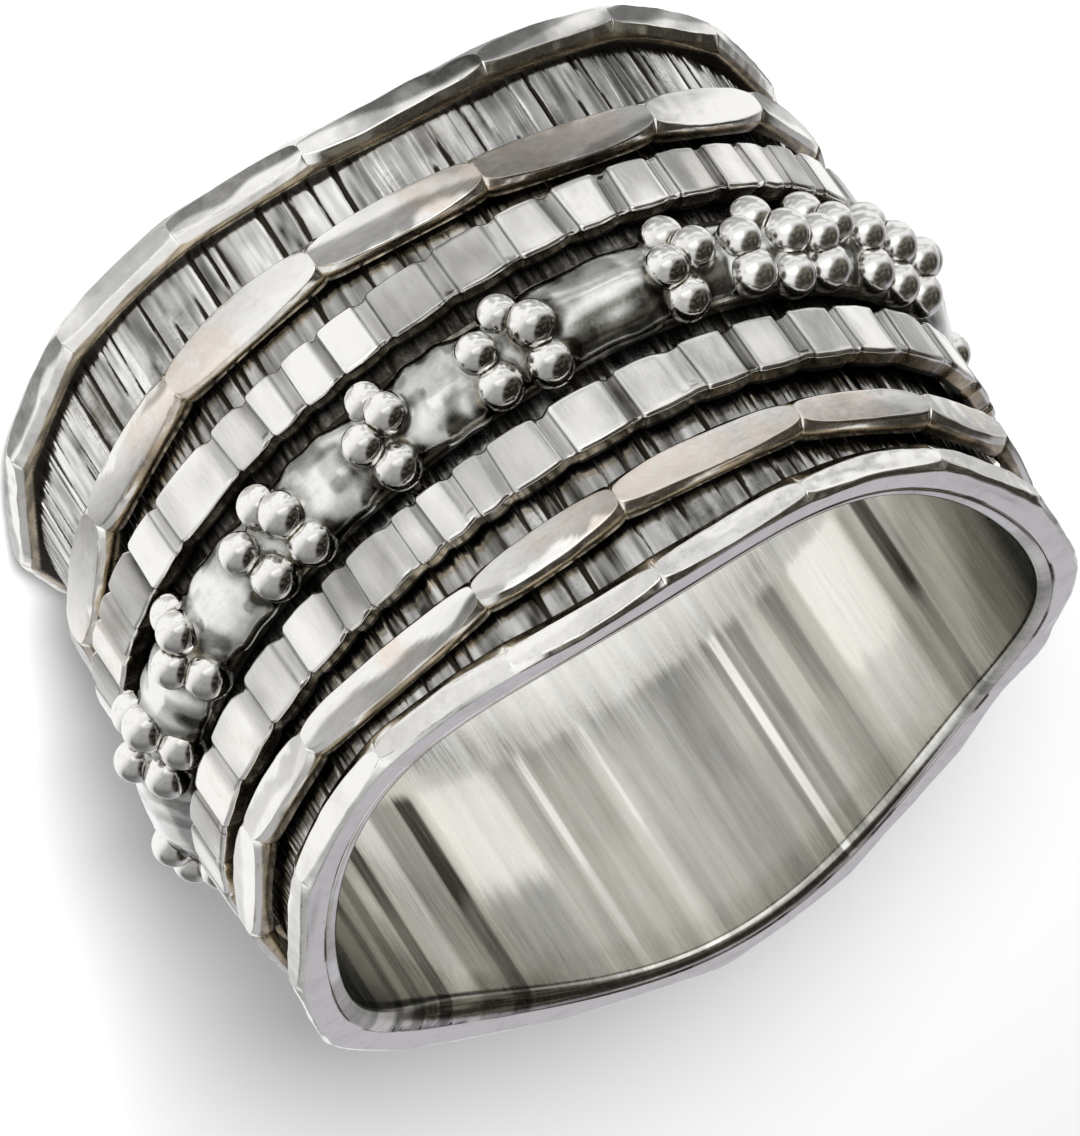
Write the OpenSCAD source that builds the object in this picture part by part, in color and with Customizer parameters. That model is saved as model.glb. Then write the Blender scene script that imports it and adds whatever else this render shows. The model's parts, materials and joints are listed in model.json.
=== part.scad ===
// Wide spinner ring: one soldered base band with two hammered rims,
// and five loose bands that spin on its sleeve.
// The ring lies on its side: the finger hole runs along Z and the bottom rim stands on the plane Z = 0.
// Angles run from the front (-Y) towards +X.

/* [Finger hole and sleeve] */
// Diameter of the finger hole
bore_d = 18; // [14:0.5:24]
// Wall of the sleeve that carries the spinner bands
sleeve_wall = 0.55; // [0.4:0.05:1]
// Depth of the bark lines in the outside of the sleeve
bark_depth = 0.09; // [0.03:0.01:0.15]
// Bark lines around the sleeve
bark_lines = 110; // [60:2:150]
// Width of the comfort edge at each mouth of the finger hole
lip = 0.15; // [0.05:0.05:0.3]

/* [Rims] */
// Width of each rim along the finger
rim_w = 0.9; // [0.7:0.05:1.5]
// Height of a rim over the sleeve, at its ridges
rim_t = 0.6; // [0.4:0.05:1]
// How far the edge of the bottom rim waves up and down from its mean line
bottom_wave = 0.25; // [0:0.05:0.4]
// How far the edge of the top rim waves up and down from its mean line
top_wave = 0.35; // [0:0.05:0.4]
// Waves around each rim
rim_waves = 4; // [3:1:6]
// How far the corner of the top rim stands out past the round
corner_out = 0.38; // [0:0.02:0.6]

/* [Spinner bands] */
// Gap between the sleeve and every band that spins on it
run_clear = 0.17; // [0.12:0.01:0.3]
// Thickness of the hammered bands at their ridges
hammered_t = 0.58; // [0.4:0.02:0.9]
// Width of the lower hammered band
hammered_low_w = 1.24; // [0.9:0.02:1.8]
// How far the lower hammered band waves along the finger
hammered_low_wave = 0.33; // [0:0.01:0.5]
// Width of the upper hammered band
hammered_high_w = 1.14; // [0.9:0.02:1.8]
// How far the upper hammered band waves along the finger
hammered_high_wave = 0.17; // [0:0.01:0.4]
// Thickness of the fluted bands between their grooves
fluted_t = 0.58; // [0.4:0.02:0.9]
// Depth of the grooves across the fluted bands
groove_depth = 0.13; // [0.05:0.01:0.2]
// Width of the lower fluted band
fluted_low_w = 1.36; // [1:0.02:2]
// Width of the upper fluted band
fluted_high_w = 1.44; // [1:0.02:2]

/* [Granulated band] */
// Width of the flat strap under the granules
strap_w = 2.2; // [1.8:0.1:3]
// Thickness of that strap
strap_t = 0.35; // [0.25:0.05:0.6]
// Radius of the round wire soldered on the strap
wire_r = 0.82; // [0.6:0.02:1]
// Radius of the smooth beads of wire between the granules
bead_r = 0.93; // [0.7:0.01:1.1]
// Radius of the swollen ends of those beads
bead_end_r = 1.0; // [0.8:0.02:1.2]
// Radius of a granule
granule_r = 0.52; // [0.3:0.02:0.56]
// Distance from the middle of the wire to the middle of a granule
granule_seat = 1.0; // [0.8:0.05:1.2]

/* [Rest position of the bands] */
// Lean of the lower hammered band, in degrees
lean_hammered_low = 3.2; // [0:0.1:4]
// Lean of the lower fluted band, in degrees
lean_fluted_low = 2.5; // [0:0.1:4]
// Lean of the granulated band, in degrees
lean_granulated = 2.3; // [0:0.1:4]
// Lean of the upper fluted band, in degrees
lean_fluted_high = 1.8; // [0:0.1:4]
// Lean of the upper hammered band, in degrees
lean_hammered_high = 0; // [0:0.1:4]
// Bare sleeve between the bottom rim and the lower hammered band
gap_bottom = 0.47; // [0.1:0.01:2]
// Gap between the lower hammered band and the lower fluted band
gap_low = 0.13; // [0.08:0.01:1]
// Gap on the lower side of the granulated band
gap_under = 0.17; // [0.08:0.01:1]
// Gap on the upper side of the granulated band
gap_over = 0.09; // [0.08:0.01:1]
// Gap between the upper fluted band and the upper hammered band
gap_high = 0.11; // [0.08:0.01:1]
// Gap between the upper hammered band and the top rim
gap_top = 0.09; // [0.08:0.01:2]

/* [Hidden] */
silver = [0.80, 0.80, 0.79];
dark_silver = [0.42, 0.40, 0.38];

bore_r = bore_d / 2;
sleeve_r = bore_r + sleeve_wall;
run_r = sleeve_r + run_clear;
round_fn = 128;
// Each faceted ring reaches this far inside its own bore, and the true bore is cut after it
undercut = 0.3;
// A bore is cut this far past the ends of the base band
overrun = 1;

// Lengths of the hammered flats and of the flutes, as shares of each other; a row repeats around its ring
low_rim_flats = [22, 26.5, 19.5, 22];
high_rim_flats = [24, 22.5, 21.5, 22];
low_band_flats = [26, 23.5, 24.5, 23, 23];
high_band_flats = [22, 27, 21, 31, 19];
low_flutes = [6, 7, 8, 8, 8, 8.5, 9, 10, 7.5, 6, 6, 6.5, 13, 8.5, 8];
high_flutes = [8.5, 9, 8, 9.5, 9.5, 9, 5, 5.5, 4, 8, 4.5, 8, 9.5, 11.5, 10];
rim_repeats = 4;
band_repeats = 3;
// Angle of the first ridge of each ring
low_rim_start = -50;
high_rim_start = -57;
low_band_start = -45;
high_band_start = -60;
low_flute_start = -63;
high_flute_start = -54.5;
// Angle at which each wave is highest
low_rim_crest = -12;
high_rim_crest = -5;
low_band_crest = -38;
high_band_crest = 8;
low_band_waves = 3;
high_band_waves = 4;

// A hammered flat: places of its cross sections along it, as shares of its length
flat_places = [0, 0.05, 0.18, 0.38, 0.62, 0.82, 0.95];
// How flat a hammered flat is, from 0, round, to 1, a true plane
flatness = 0.75;
// Half widths of the flat itself and of the whole wire, as shares of the half width of the ring
flat_share = [0.12, 0.86];
edge_share = [0.72, 1];
// How far the edges of a hammered wire fall below its flats, as a share of its thickness
edge_drop = 0.42;
// The same at the mouth's face of a rim
mouth_drop = 0.21;

// The corner of the top rim: its angle, and how far along the rim it fades out
corner_at = 121;
corner_reach = 42;
// How much of the corner the mouth of the finger hole follows
corner_mouth = 0.75;

// Bark lines: shallowest and deepest as shares of the bark depth
bark_depths = [0.4, 1];
// How far a bark line strays, as a share of their pitch
bark_stray = 0.35;
// Turns in degrees that make each bark line unlike its neighbours
bark_depth_turn = 67;
bark_stray_turn = 101;

// A flute: [place along it, its depth, how much its edges draw in], the last two as shares of the groove
flute_profile = [[0, 1, 0.7], [0.2, 0.1, 0.15], [0.6, 0.35, 0], [0.88, 0, 0.35]];
// Bevel along the edges of a fluted band
flute_bevel = 0.09;

// Steps between the clusters of granules, as shares of a turn, with beads of wire in the long ones
cluster_steps = [12, 12, 11, 13, 24.5, 18.5, 19, 20.5, 19, 33.5, 22, 22, 11, 11, 22, 20, 20, 20, 29];
cluster_start = -82;
bead_step = 15;
// From the middle of a cluster to the end of the bead of wire beside it
bead_stop = 6.2;
// Steepest place of a granule around the wire, and the air kept past it
granule_steep = 62;
granule_air = 0.06;
// Granules of a cluster: [angle from its middle, angle around the wire]; small and large ones take turns
small_cluster = [[-1, -51], [-2.4, -7], [2.2, 10], [0.9, granule_steep]];
large_cluster = [[-3.8, 6], [3.8, -1], [3.1, 54], [-3.8, granule_steep], [-1.4, -38]];

// The middle of the round wire lies this far outside the bore of its strap
wire_seat = 0.08;
wire_at = run_r + wire_seat;
// Sides of the wire's cross section
wire_sides = 12;
granulated_half = granule_seat * sin(granule_steep) + granule_r + granule_air;

// Running positions along the finger
half_heights = [hammered_low_w / 2 + hammered_low_wave, fluted_low_w / 2, granulated_half,
                fluted_high_w / 2, hammered_high_w / 2 + hammered_high_wave];
leans = [lean_hammered_low, lean_fluted_low, lean_granulated, lean_fluted_high, lean_hammered_high];
gaps = [gap_low, gap_under, gap_over, gap_high];
last_lane = len(leans) - 1;
lean_r = run_r + max(hammered_t, fluted_t, wire_seat + granule_seat + granule_r);
function lift(i) = lean_r * abs(tan(leans[i]));
function lean_room(i) = lean_r * abs(tan(leans[i]) - tan(leans[i + 1]));
function lane_z(i) = i == 0
    ? 2 * bottom_wave + rim_w + gap_bottom + half_heights[0] + lift(0)
    : lane_z(i - 1) + half_heights[i - 1] + lean_room(i - 1) + gaps[i - 1] + half_heights[i];
low_rim_edge = bottom_wave;
high_rim_edge = lane_z(last_lane) + half_heights[last_lane] + lift(last_lane) + gap_top + rim_w + top_wave;
ring_h = high_rim_edge + top_wave;

function sum(list, n) = n <= 0 ? 0 : list[n - 1] + sum(list, n - 1);
function total(list) = sum(list, len(list));
// Start of step i of a row of steps that repeats around the ring
function step_scale(steps, repeats) = 360 / (total(steps) * repeats);
function step_start(steps, repeats, i) =
    (floor(i / len(steps)) * total(steps) + sum(steps, i % len(steps))) * step_scale(steps, repeats);
function step_length(steps, repeats, i) = steps[i % len(steps)] * step_scale(steps, repeats);
// Fullness along a hammered flat: 0 at its ends and 1 in the middle
function fullness(u) = sqrt(max(0, 1 - (2 * u - 1) ^ 2));
function mix(pair, share) = pair[0] + (pair[1] - pair[0]) * share;
function flat_radius(ridge_r, length, u) =
    ridge_r * (1 - flatness * (1 - cos(length / 2) / cos(length * (u - 0.5))));

// How far the top rim stands out at an angle
function corner(angle) =
    abs(angle - corner_at) < corner_reach ? corner_out * cos(90 * (angle - corner_at) / corner_reach)^2 : 0;

function on_ring(r, angle, z) = [r * sin(angle), -r * cos(angle), z];

// A closed ring of triangles through loops of [radius, height] points, one loop for each angle
module ring_mesh(angles, loops) {
    columns = len(angles);
    rows = len(loops[0]);
    points = [for (i = [0 : columns - 1]) for (p = loops[i]) on_ring(p[0], angles[i], p[1])];
    function at(i, j) = (i % columns) * rows + j % rows;
    faces = [for (i = [0 : columns - 1]) for (j = [0 : rows - 1]) for (side = [0, 1])
        side == 0 ? [at(i, j), at(i, j + 1), at(i + 1, j + 1)]
                  : [at(i, j), at(i + 1, j + 1), at(i + 1, j)]];
    polyhedron(points = points, faces = faces, convexity = 8);
}

module bore(r, low, high) {
    translate([0, 0, low]) cylinder(r = r, h = high - low, $fn = round_fn);
}

// Cross section of a hammered band at share u of a flat
function hammered_loop(inner_r, ridge_r, length, u, mid, half_w, thick) =
    let (r = flat_radius(ridge_r, length, u), edge_r = r - edge_drop * thick,
         flat = half_w * mix(flat_share, fullness(u)), edge = half_w * mix(edge_share, fullness(u)))
    [[inner_r, mid - edge], [edge_r, mid - edge], [r, mid - flat],
     [r, mid + flat], [edge_r, mid + edge], [inner_r, mid + edge]];

module hammered_ring(width, wave, waves, crest, flats, repeats, start) {
    last = len(flats) * repeats - 1;
    spots = [for (i = [0 : last]) for (u = flat_places)
        [start + step_start(flats, repeats, i) + u * step_length(flats, repeats, i),
         step_length(flats, repeats, i), u]];
    loops = [for (s = spots) hammered_loop(run_r - undercut, run_r + hammered_t, s[1], s[2],
        wave * cos(waves * (s[0] - crest)), width / 2, hammered_t)];
    reach = width + wave;
    difference() {
        ring_mesh([for (s = spots) s[0]], loops);
        bore(run_r, -reach, reach);
    }
}

// Cross section of a rim at share u of a flat: edge is the height of its mouth, side is 1 on the top rim,
// and out is how far the rim stands out there
function rim_loop(length, u, edge, side, out) =
    let (r = flat_radius(sleeve_r + rim_t, length, u) + out, half = rim_w / 2, mid = edge - side * half,
         flat = half * mix(flat_share, fullness(u)), face_r = r - mouth_drop * rim_t,
         inner_r = bore_r - undercut, mouth = lip + corner_mouth * out,
         loop = [[inner_r, mid - side * half], [r - edge_drop * rim_t, mid - side * half],
                 [r, mid - side * flat], [r, mid + side * flat], [face_r, edge],
                 [bore_r + mouth, edge], [inner_r, edge - side * (mouth + undercut)]])
    side > 0 ? loop : [for (i = [len(loop) - 1 : -1 : 0]) loop[i]];

module rim(flats, start, mean_edge, wave, crest, side) {
    last = len(flats) * rim_repeats - 1;
    spots = [for (i = [0 : last]) for (u = flat_places)
        [start + step_start(flats, rim_repeats, i) + u * step_length(flats, rim_repeats, i),
         step_length(flats, rim_repeats, i), u]];
    loops = [for (s = spots) rim_loop(s[1], s[2], mean_edge + wave * cos(rim_waves * (s[0] - crest)), side,
                                      side > 0 ? corner(s[0]) : 0)];
    ring_mesh([for (s = spots) s[0]], loops);
}

// The sleeve, with bark lines along the finger
module sleeve() {
    outline = [for (i = [0 : 2 * bark_lines - 1])
        let (depth = i % 2 == 0 ? 0 : bark_depth * mix(bark_depths, abs(sin(i * bark_depth_turn))),
             angle = (i + bark_stray * sin(i * bark_stray_turn)) * 180 / bark_lines)
        [(sleeve_r - depth) * sin(angle), -(sleeve_r - depth) * cos(angle)]];
    low = low_rim_edge + rim_w / 2;
    high = high_rim_edge - rim_w / 2;
    translate([0, 0, low]) linear_extrude(height = high - low) polygon(outline);
}

module fluted_ring(width, flutes, start) {
    last = len(flutes) * band_repeats - 1;
    ridge_r = run_r + fluted_t;
    half = width / 2;
    spots = [for (i = [0 : last]) for (f = flute_profile)
        [start + step_start(flutes, band_repeats, i) + f[0] * step_length(flutes, band_repeats, i),
         f[1], f[2]]];
    loops = [for (s = spots)
        let (r = ridge_r - s[1] * groove_depth, edge = half - s[2] * groove_depth)
        [[run_r - undercut, -edge], [r - flute_bevel, -edge], [r, flute_bevel - edge],
         [r, edge - flute_bevel], [r - flute_bevel, edge], [run_r - undercut, edge]]];
    difference() {
        ring_mesh([for (s = spots) s[0]], loops);
        bore(run_r, -width, width);
    }
}

// Cross section of the wire, with a flat side to the outside
module wire_section(r) {
    translate([wire_at, 0]) rotate(180 / wire_sides) circle(r = r, $fn = wire_sides);
}

// A bead of wire along the ring, with swollen ends
module wire_bead(from, to) {
    rotate([0, 0, from - 90]) rotate_extrude(angle = to - from, $fn = round_fn)
        wire_section(bead_r);
    for (angle = [from, to])
        rotate([0, 0, angle]) translate([0, -wire_at, 0]) sphere(r = bead_end_r, $fn = 32);
}

module granule(angle, around) {
    r = wire_at + granule_seat * cos(around);
    rotate([0, 0, angle]) translate([0, -r, granule_seat * sin(around)]) sphere(r = granule_r, $fn = 16);
}

// Lays a ring that is made about its own middle into its lane on the sleeve
module in_lane(i) {
    translate([0, 0, lane_z(i)]) rotate([0, -leans[i], 0]) children();
}

module base_band() {
    color(dark_silver) difference() {
        union() {
            sleeve();
            rim(low_rim_flats, low_rim_start, low_rim_edge, bottom_wave, low_rim_crest, -1);
            rim(high_rim_flats, high_rim_start, high_rim_edge, top_wave, high_rim_crest, 1);
        }
        bore(bore_r, -overrun, ring_h + overrun);
    }
}

module hammered_band_low() {
    color(silver) in_lane(0)
        hammered_ring(hammered_low_w, hammered_low_wave, low_band_waves, low_band_crest,
                      low_band_flats, band_repeats, low_band_start);
}

module fluted_band_low() {
    color(silver) in_lane(1) fluted_ring(fluted_low_w, low_flutes, low_flute_start);
}

module granulated_band() {
    count = len(cluster_steps);
    color(silver) in_lane(2) difference() {
        union() {
            rotate_extrude($fn = round_fn) {
                translate([run_r - undercut, -strap_w / 2]) square([strap_t + undercut, strap_w]);
                wire_section(wire_r);
            }
            for (i = [0 : count - 1]) {
                middle = cluster_start + step_start(cluster_steps, 1, i);
                step = step_length(cluster_steps, 1, i);
                if (step > bead_step) wire_bead(middle + bead_stop, middle + step - bead_stop);
                for (g = i % 2 == 0 ? small_cluster : large_cluster) granule(middle + g[0], g[1]);
            }
        }
        bore(run_r, -strap_w, strap_w);
    }
}

module fluted_band_high() {
    color(silver) in_lane(3) fluted_ring(fluted_high_w, high_flutes, high_flute_start);
}

module hammered_band_high() {
    color(silver) in_lane(4)
        hammered_ring(hammered_high_w, hammered_high_wave, high_band_waves, high_band_crest,
                      high_band_flats, band_repeats, high_band_start);
}

base_band();
hammered_band_low();
fluted_band_low();
granulated_band();
fluted_band_high();
hammered_band_high();
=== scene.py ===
import json
import math

import bpy
import numpy as np
from mathutils import Matrix, Vector


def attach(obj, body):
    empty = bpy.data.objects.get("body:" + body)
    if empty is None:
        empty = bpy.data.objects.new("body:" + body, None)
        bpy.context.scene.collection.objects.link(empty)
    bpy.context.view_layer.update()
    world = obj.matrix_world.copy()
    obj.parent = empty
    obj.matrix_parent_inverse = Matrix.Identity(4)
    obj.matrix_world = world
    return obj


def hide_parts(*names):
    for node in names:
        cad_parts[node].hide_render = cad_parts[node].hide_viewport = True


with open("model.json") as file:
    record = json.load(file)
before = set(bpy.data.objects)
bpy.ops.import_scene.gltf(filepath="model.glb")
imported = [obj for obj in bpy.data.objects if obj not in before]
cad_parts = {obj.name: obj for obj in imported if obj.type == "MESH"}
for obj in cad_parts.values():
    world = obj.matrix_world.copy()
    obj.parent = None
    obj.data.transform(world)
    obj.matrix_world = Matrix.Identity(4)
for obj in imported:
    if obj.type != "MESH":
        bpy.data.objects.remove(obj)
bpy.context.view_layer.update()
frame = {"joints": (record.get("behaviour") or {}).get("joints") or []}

# Lengths are in millimetres and angles in degrees; a mesh is scaled to metres when it is made.
# Angles run from the front (-Y) towards +X, as in the part's source.
MM = 0.001

# Base band
BORE_R = 9.0
SLEEVE_R = 9.55
LIP_R = 9.38
LIP_ROUND = 0.28
RIM_W = 0.9
RIM_T = 0.6
RIM_WAVES = 4
LOW_EDGE, LOW_WAVE, LOW_CREST = 0.25, 0.25, -12
HIGH_EDGE, HIGH_WAVE, HIGH_CREST = 14.082, 0.35, -5
LOW_RIM_FLATS, LOW_RIM_START = [22, 26.5, 19.5, 22], -50
HIGH_RIM_FLATS, HIGH_RIM_START = [24, 22.5, 21.5, 22], -57
RIM_REPEATS = 4
CORNER_AT, CORNER_REACH, CORNER_OUT, CORNER_MOUTH = 121, 42, 0.38, 0.75
# The dark lines cut in the sleeve, the grain between them, and how light the metal there is
BARK_DEPTH = 0.09
BARK_LINES = 150
FINE_LINES = 240
GRAIN_DEPTH = 0.012
PLATE_LEVEL = 0.94
# How far the sleeve's lip stays inside a rim, across, and where its two edges lie, along the finger
LIP_TUCK, LIP_TOP, LIP_FOOT = 0.02, 0.01, 0.12
# The rims' flats: how light their reflections are
LOW_RIM_LEVELS = [0.20, 0.32, 0.50, 0.90]
HIGH_RIM_LEVELS = [0.66, 0.82, 1.0, 1.0]

# Painted reflection streaks in the polished bore: angle, half width, how light it is in the middle, and the
# same near the top mouth
BORE_REFLECTION_STREAKS = [
    (108, 3.4, 0.86, 0.95), (112.9, 1.0, 0.10, 0.40), (115.6, 1.2, 0.80, 0.90), (118.5, 1.4, 0.42, 0.50),
    (121.6, 1.2, 0.95, 0.72), (124.8, 1.3, 0.22, 0.34),
    (129.3, 2.5, 0.96, 0.86), (134.2, 2.2, 0.50, 0.58), (139.3, 1.8, 0.00, 0.25), (148.2, 6.6, 0.93, 0.52),
    (157, 1.8, 0.56, 0.60), (160, 0.6, 0.95, 0.80), (165, 4.0, 0.58, 0.64), (170.5, 0.5, 0.95, 0.78),
    (176, 4.0, 0.62, 0.62), (185, 2.8, 0.46, 0.52), (190, 1.5, 0.66, 0.60), (193.5, 0.8, 1.10, 0.95),
    (197.5, 1.2, 0.40, 0.46), (201, 1.2, 0.74, 0.64), (205, 1.4, 0.42, 0.50), (215.5, 6.4, 1.10, 0.84),
    (227.5, 1.7, 0.10, 0.50), (236, 5.0, 0.80, 0.76)]
# Heights between which the middle values of the painted streaks hold; below them the painted lower wall, and
# above them the streaks' values near the top mouth
REFLECTIONS_FROM, REFLECTIONS_TO = 7.8, 10.9
# The middle of the part of the bore that the camera sees, which its painted reflections are set around, the
# contrast of those painted reflections, and the bore's waviness
BORE_SEEN = 175
BORE_CONTRAST = 1.35
BORE_RIPPLE = 0.012

# Loose bands. A hammered one waves along the finger: how far, how often, and where its crest is
RUN_R = 9.72
HAMMERED_T = 0.58
LOW_HAMMERED_W, LOW_BAND_WAVE, LOW_BAND_WAVES, LOW_BAND_CREST = 1.24, 0.33, 3, -38
HIGH_HAMMERED_W, HIGH_BAND_WAVE, HIGH_BAND_WAVES, HIGH_BAND_CREST = 1.14, 0.17, 4, 8
# How light the loose hammered bands' painted reflections are
BAND_LEVELS = [0.34, 0.52, 0.72, 1.0]
LOW_BAND_FLATS, LOW_BAND_START = [26, 23.5, 24.5, 23, 23], -45
HIGH_BAND_FLATS, HIGH_BAND_START = [22, 27, 21, 31, 19], -60
FLUTED_T = 0.58
LOW_FLUTED_W, HIGH_FLUTED_W = 1.36, 1.44
BEVEL = 0.07
GROOVE = 0.13
LOW_FLUTES, LOW_FLUTE_START = [6, 7, 8, 8, 8, 8.5, 9, 10, 7.5, 6, 6, 6.5, 13, 8.5, 8], -63
HIGH_FLUTES, HIGH_FLUTE_START = [8.5, 9, 8, 9.5, 9.5, 9, 5, 5.5, 4, 8, 4.5, 8, 9.5, 11.5, 10], -54.5
BAND_REPEATS = 3

# Hammered wire, in the rims too. Shares of its half width: a flat and the wire's edge, each at a flat's
# ends and in its middle. Shares of its thickness: the drop to its edge and to a rim's mouth
FLATNESS = 0.75
FLAT_SHARE = (0.12, 0.78)
RIM_FLAT_SHARE = (0.12, 0.66)
RIM_FLAT_OUT = 0.2
EDGE_SHARE = (0.72, 1.0)
EDGE_DROP = 0.42
MOUTH_DROP = 0.21
BAND_DENT, RIM_DENT = 0.014, 0.018

# Cross sections, corner by corner: how round a corner is, and the points on the side after it
BAND_ROUND, BAND_POINTS = [0.05, 0.12, 0.035, 0.035, 0.12, 0.05], [3, 4, 9, 4, 3, 4]
RIM_ROUND, RIM_POINTS = [0.04, 0.08, 0.035, 0.035, 0.045, 0.05], [5, 4, 8, 4, 8, 3]
FLUTED_ROUND, FLUTED_POINTS = [0.05, 0.04, 0.04, 0.04, 0.04, 0.05], [4, 1, 14, 1, 4, 4]

# About half the ring's height
MID_Z = 7

# Mesh density
FACET_COLUMNS = 56
SLEEVE_COLUMNS, BORE_ROWS, LIP_ROWS = 1800, 16, 5
WIRE_COLUMNS, WIRE_ROWS, WIRE_SPAN = 1320, 50, 128
GRANULE_AROUND, GRANULE_ALONG = 28, 16

# Granulated band
WIRE_AT = RUN_R + 0.08
WIRE_R = 0.82
BEAD_R = 0.93
BEAD_END_R = 1.0
BEAD_STEP = 15
BEAD_STOP = 6.2
STRAP_W, STRAP_T, STRAP_EDGE = 2.2, 0.35, 0.05
GRANULE_R = 0.52
GRANULE_SEAT = 0.97
CLUSTER_STEPS = [12, 12, 11, 13, 24.5, 18.5, 19, 20.5, 19, 33.5, 22, 22, 11, 11, 22, 20, 20, 20, 29]
CLUSTER_START = -82
# Granules of a cluster: angle from its middle, angle around the wire, and size as a share of GRANULE_R
SMALL_CLUSTER = [(-1.0, -51, 1.02), (-2.4, -7, 1.0), (2.2, 10, 1.0), (0.9, 60, 1.12)]
LARGE_CLUSTER = [(-3.8, 4, 1.08), (3.8, -2, 1.0), (3.1, 53, 1.14), (-3.8, 61, 1.1), (-1.4, -38, 1.04)]
# The solder: how softly it blends, how often it settles, how large a share of a granule draws it up,
# and how many degrees away it feels one
SOLDER, SOLDER_PASSES, SOLDER_SHARE, SOLDER_REACH = 0.24, 30, 0.86, 6
# The most it rises from one row, and from one column, to the next
SLOPE_PASSES, SLOPE_AROUND, SLOPE_ALONG = 10, 0.14, 0.06
# Angles between which the granules turn dull, towards the side, and bright again behind it
DULL_FROM, DULL_TO = -28, -45
DULL_BACK_FROM, DULL_BACK_TO = -120, -140

# Camera: the photograph's lens, distance and tilt
PHOTO_W, PHOTO_H = 1080, 1136
SENSOR = 36.0
FOCAL_PX = 15664.0
CAMERA_AWAY = 353.85
CAMERA_UP = 24.302
CAMERA_ROLL = 212.94
AIM_RIGHT, AIM_UP, AIM_Z = 0.279, 0.728, 7.157
NEAREST, FARTHEST = 10, 5000

FLOOR_HALF = 600


def mix(pair, share):
    """The value a share of the way from the first to the second."""
    return pair[0] + (pair[1] - pair[0]) * share


def smoothstep(low, high, value):
    t = np.clip((value - low) / (high - low), 0, 1)
    return t * t * (3 - 2 * t)


def fullness(u):
    """0 at both ends of a flat and 1 in its middle."""
    return np.sqrt(np.maximum(0, 4 * u * (1 - u)))


def turned(angle, middle):
    """How far an angle is from a middle one, between -180 and 180."""
    return np.mod(angle - middle + 180, 360) - 180


def steps(shares, repeats, start):
    """Starts and lengths of a row of steps that repeats around the ring."""
    lengths = np.tile(np.array(shares, float), repeats)
    lengths *= 360 / lengths.sum()
    return start + np.concatenate([[0], np.cumsum(lengths)[:-1]]), lengths


def lattice(angle, along, around_cells, cell, seed):
    """Smooth noise from -1 to 1 that closes on itself around the ring. Along the finger its cells are cell
    millimetres long."""
    rng = np.random.default_rng(seed)
    rows = 64
    grid = rng.uniform(-1, 1, (around_cells, rows))
    a = np.mod(angle / 360 * around_cells, around_cells)
    b = np.mod(along / cell + rows / 2, rows)
    i, j = np.floor(a).astype(int), np.floor(b).astype(int)
    fa, fb = a - i, b - j
    fa, fb = fa * fa * (3 - 2 * fa), fb * fb * (3 - 2 * fb)
    i0, i1 = i % around_cells, (i + 1) % around_cells
    j0, j1 = j % rows, (j + 1) % rows
    low = grid[i0, j0] * (1 - fa) + grid[i1, j0] * fa
    high = grid[i0, j1] * (1 - fa) + grid[i1, j1] * fa
    return low * (1 - fb) + high * fb


def corner(angle):
    """How far the top rim stands out at an angle."""
    off = turned(angle, CORNER_AT)
    rise = CORNER_OUT * np.cos(np.radians(90 * off / CORNER_REACH)) ** 2
    return np.where(np.abs(off) < CORNER_REACH, rise, 0)


def low_edge(angle):
    return LOW_EDGE + LOW_WAVE * np.cos(np.radians(RIM_WAVES * (angle - LOW_CREST)))


def high_edge(angle):
    return HIGH_EDGE + HIGH_WAVE * np.cos(np.radians(RIM_WAVES * (angle - HIGH_CREST)))


def rounded(corners, radii, straights, fillet=4):
    """Closed loops with rounded corners. corners is (columns, corners, 2), and straights the number of points
    on each side."""
    count = corners.shape[1]
    out = []
    for k in range(count):
        here, before, after = corners[:, k], corners[:, k - 1], corners[:, (k + 1) % count]
        to_before, to_after = before - here, after - here
        len_before = np.linalg.norm(to_before, axis=1, keepdims=True)
        len_after = np.linalg.norm(to_after, axis=1, keepdims=True)
        reach = np.minimum(radii[k], 0.45 * np.minimum(len_before, len_after))
        start = here + to_before / np.maximum(len_before, 1e-9) * reach
        end = here + to_after / np.maximum(len_after, 1e-9) * reach
        for s in np.linspace(0, 1, fillet):
            out.append((1 - s) ** 2 * start + 2 * s * (1 - s) * here + s ** 2 * end)
        far = corners[:, (k + 1) % count]
        beyond = corners[:, (k + 2) % count] - far
        back = here - far
        len_back = np.linalg.norm(back, axis=1, keepdims=True)
        far_reach = np.minimum(radii[(k + 1) % count], 0.45 * np.minimum(
            len_back, np.linalg.norm(beyond, axis=1, keepdims=True)))
        stop = far + back / np.maximum(len_back, 1e-9) * far_reach
        for s in np.linspace(0, 1, straights[k] + 2)[1:-1]:
            out.append(end * (1 - s) + stop * s)
    return np.stack(out, axis=1)


def section(*corners):
    """The corners of every column's cross section, from pairs of radii and heights."""
    return np.stack([np.stack(pair, -1) for pair in corners], axis=1)


def make_mesh(name, points, faces, marks):
    """A smooth mesh from points in millimetres, with its marks as point attributes."""
    mesh = bpy.data.meshes.new(name)
    mesh.from_pydata((np.asarray(points) * MM).tolist(), [], np.asarray(faces).tolist())
    mesh.shade_smooth()
    for key, values in marks.items():
        layer = mesh.attributes.new(key, "FLOAT", "POINT")
        layer.data.foreach_set("value", np.asarray(values, np.float32).ravel())
    mesh.update()
    obj = bpy.data.objects.new(name, mesh)
    bpy.context.scene.collection.objects.link(obj)
    return obj


def ring_points(angle, radius, height):
    a = np.radians(angle)
    return np.stack([radius * np.sin(a), -radius * np.cos(a), height], axis=-1)


def ring_faces(columns, rows):
    i, j = np.meshgrid(np.arange(columns), np.arange(rows), indexing="ij")
    i1, j1 = (i + 1) % columns, (j + 1) % rows
    quads = np.stack([i * rows + j, i1 * rows + j, i1 * rows + j1, i * rows + j1], axis=-1)
    return quads.reshape(-1, 4)


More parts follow.
